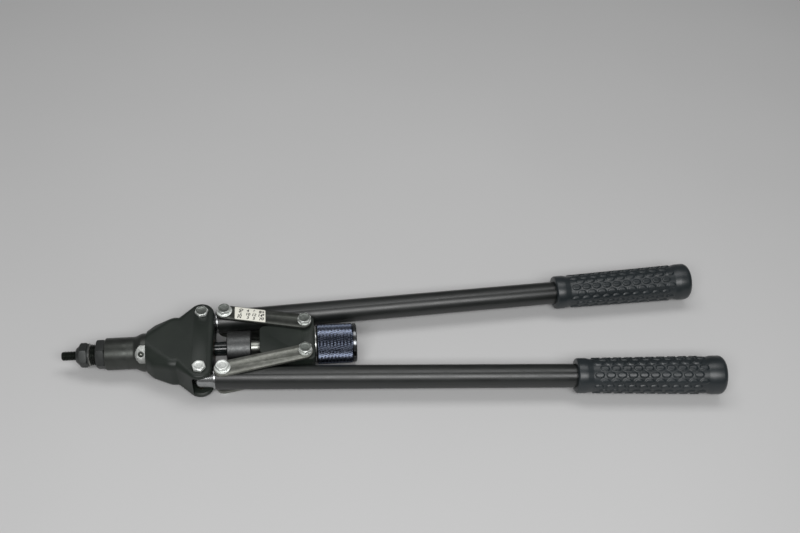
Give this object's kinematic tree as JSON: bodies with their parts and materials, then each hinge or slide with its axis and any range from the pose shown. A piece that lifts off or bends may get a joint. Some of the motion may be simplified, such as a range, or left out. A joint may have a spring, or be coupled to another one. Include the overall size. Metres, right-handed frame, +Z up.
{
  "type": "hand riveter",
  "caption": "Long-arm hand riveter for threaded inserts: levers drive links and a crosshead that move the mandrel through the nose.",
  "frame": {"origin": "on the tool's axis, at the front face of the nose piece", "axes": "+X back along the tool's axis to the handles, +Z up out of the head's broad face, +Y to the right lever"},
  "size_m": [0.5543, 0.1396, 0.0348],
  "materials": {
    "black_casting": "satin",
    "barrel_steel": "satin",
    "black_oxide": "satin",
    "zinc_fastener": "bright",
    "link_steel": "satin",
    "polished_steel": "polished",
    "sleeve_steel": "satin",
    "blued_steel": "satin",
    "bronze": "machined",
    "spring_steel": "satin",
    "tube_paint": "satin",
    "grip_rubber": "matt",
    "number_plate": "printed"
  },
  "bodies": {
    "head": {"head_body": "black_casting", "barrel": "barrel_steel", "barrel_set_screw": "black_oxide", "guide_bush": "bronze", "head_pivot_bolts": "zinc_fastener", "head_pivot_nuts": "zinc_fastener"},
    "lock_nut": {"lock_nut": "black_oxide"},
    "nose": {"nose_piece": "black_oxide"},
    "spindle": {"mandrel": "black_oxide", "mandrel_adapter": "black_oxide", "pull_rod": "polished_steel", "stroke_sleeve": "sleeve_steel", "rod_circlip": "spring_steel", "thrust_washer": "polished_steel", "knurled_knob": "blued_steel", "knob_screw": "black_oxide"},
    "crosshead": {"crosshead": "black_casting", "crosshead_bush": "bronze"},
    "left_lever": {"left_lever_bar": "polished_steel", "left_lever_bush": "bronze", "left_lever_tube": "tube_paint", "left_grip": "grip_rubber", "left_link_bolt": "zinc_fastener", "left_link_nut": "zinc_fastener"},
    "left_link": {"left_link_top": "link_steel", "left_link_bottom": "link_steel", "left_crosshead_bolt": "zinc_fastener", "left_crosshead_nut": "zinc_fastener", "left_spring_washer": "zinc_fastener"},
    "right_lever": {"right_lever_bar": "polished_steel", "right_lever_bush": "bronze", "right_lever_tube": "tube_paint", "right_grip": "grip_rubber", "right_link_bolt": "zinc_fastener", "right_link_nut": "zinc_fastener"},
    "right_link": {"right_link_top": "link_steel", "right_link_bottom": "link_steel", "right_crosshead_bolt": "zinc_fastener", "right_crosshead_nut": "zinc_fastener", "right_spring_washer": "zinc_fastener", "right_link_plate": "number_plate"}
  },
  "joints": [
    {"name": "left_lever_hinge", "type": "hinge", "parent": "head", "child": "left_lever", "pos_m": [0.103, -0.0292, 0], "axis": [0, 0, -1], "range_deg": [0, 45]},
    {"name": "right_lever_hinge", "type": "hinge", "parent": "head", "child": "right_lever", "pos_m": [0.103, 0.0292, 0], "axis": [0, 0, 1], "range_deg": [0, 45]},
    {"name": "left_link_hinge", "type": "hinge", "parent": "left_lever", "child": "left_link", "pos_m": [0.12197, -0.03026, 0], "axis": [0, 0, 1], "range_deg": [0, 56.4]},
    {"name": "right_link_hinge", "type": "hinge", "parent": "right_lever", "child": "right_link", "pos_m": [0.12197, 0.03026, 0], "axis": [0, 0, -1], "range_deg": [0, 56.4]},
    {"name": "crosshead_slide", "type": "slide", "parent": "head", "child": "crosshead", "axis": [-1, 0, 0], "range_m": [0, 0.01045]},
    {"name": "spindle_spin", "type": "hinge", "parent": "crosshead", "child": "spindle", "pos_m": [0.1978, 0, 0], "axis": [1, 0, 0], "continuous": true},
    {"name": "nose_adjust", "type": "slide", "parent": "head", "child": "nose", "axis": [-1, 0, 0], "range_m": [0, 0.004]},
    {"name": "lock_nut_turn", "type": "hinge", "parent": "head", "child": "lock_nut", "pos_m": [0.0204, 0, 0], "axis": [1, 0, 0], "continuous": true}
  ],
  "couplings": [
    {"joint": "right_lever_hinge", "follows": "left_lever_hinge", "ratio": 1},
    {"joint": "left_link_hinge", "follows": "left_lever_hinge", "ratio": 1.2525},
    {"joint": "right_link_hinge", "follows": "left_lever_hinge", "ratio": 1.2525},
    {"joint": "crosshead_slide", "follows": "left_lever_hinge", "m_per_rad": 0.013303}
  ]
}
